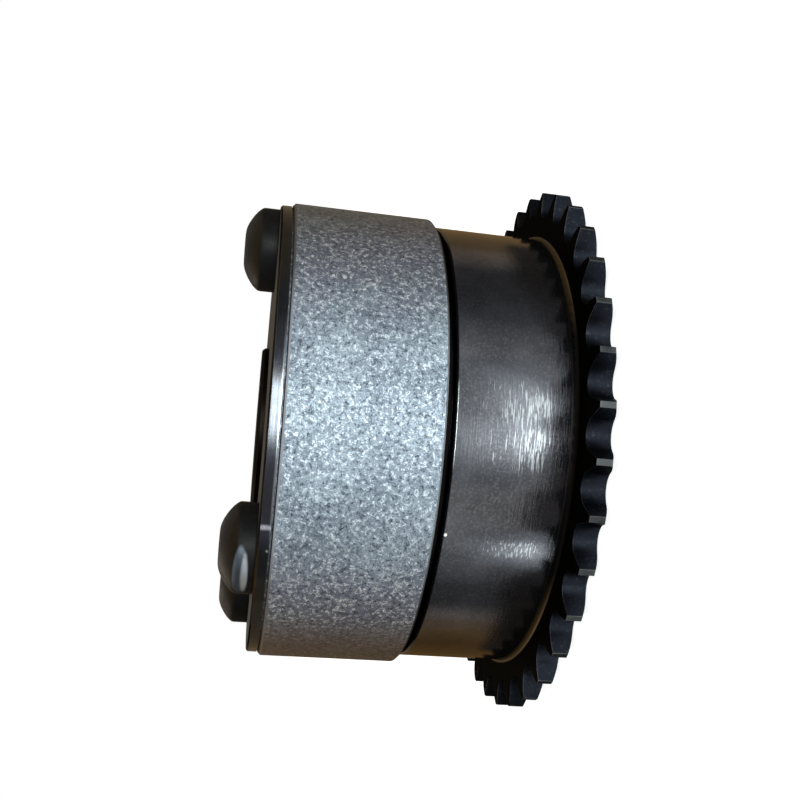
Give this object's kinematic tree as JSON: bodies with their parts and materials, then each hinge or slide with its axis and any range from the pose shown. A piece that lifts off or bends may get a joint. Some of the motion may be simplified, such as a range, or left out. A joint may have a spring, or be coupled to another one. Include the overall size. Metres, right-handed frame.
{
  "type": "camshaft phaser",
  "caption": "Round unit with a chain ring that drives an engine's camshaft and turns it against the drive by oil pressure on an inner vane rotor.",
  "frame": {"origin": "on the camshaft's axis, in the plane of the chain ring's back face", "axes": "+Z along the camshaft's axis, from the chain ring towards the cover and the camshaft bolt's seat; +X towards the upper edge of the picture, 0.7 degrees past the middle of a chain tooth"},
  "size_m": [0.0962, 0.0962, 0.0565],
  "materials": {
    "sprocket_steel": "dark oil-blackened steel, turned barrel with fine circumferential scratches, satin teeth",
    "stator_metal": "sintered steel, light blue-grey with a fine sparkling grain, machined chamfers",
    "cover_steel": "dark turned steel with fine circumferential lines",
    "bolt_steel": "dark phosphated steel, smooth domed heads",
    "rotor_metal": "sintered steel, ground faces",
    "pin_steel": "hardened steel, ground",
    "spring_steel": "spring steel, bright drawn",
    "seal_plastic": "dark sealing plastic, moulded"
  },
  "bodies": {
    "housing": {"sprocket_body": "sprocket_steel", "stator_housing": "stator_metal", "front_cover": "cover_steel", "cover_bolts": "bolt_steel", "lobe_seal_1": "seal_plastic", "lobe_seal_2": "seal_plastic", "lobe_seal_3": "seal_plastic", "lobe_seal_4": "seal_plastic", "lobe_seal_spring_1": "spring_steel", "lobe_seal_spring_2": "spring_steel", "lobe_seal_spring_3": "spring_steel", "lobe_seal_spring_4": "spring_steel", "lock_pin_seat": "pin_steel", "rear_dowel": "pin_steel", "cover_dowel": "pin_steel"},
    "rotor": {"rotor": "rotor_metal", "vane_seal_1": "seal_plastic", "vane_seal_2": "seal_plastic", "vane_seal_3": "seal_plastic", "vane_seal_4": "seal_plastic", "vane_seal_spring_1": "spring_steel", "vane_seal_spring_2": "spring_steel", "vane_seal_spring_3": "spring_steel", "vane_seal_spring_4": "spring_steel", "lock_pin_cap": "pin_steel", "lock_pin_spring": "spring_steel"},
    "lock_pin": {"lock_pin": "pin_steel"}
  },
  "joints": [
    {"name": "rotor_turn", "type": "hinge", "parent": "housing", "child": "rotor", "pos_m": [0, 0, 0], "axis": [0, 0, -1], "range_deg": [0, 25]},
    {"name": "lock_pin_slide", "type": "slide", "parent": "rotor", "child": "lock_pin", "axis": [0, 0, 1], "range_m": [0, 0.0026], "stiffness_N_per_m": 600, "springref_m": -0.006, "deforming": ["lock_pin_spring"]}
  ]
}
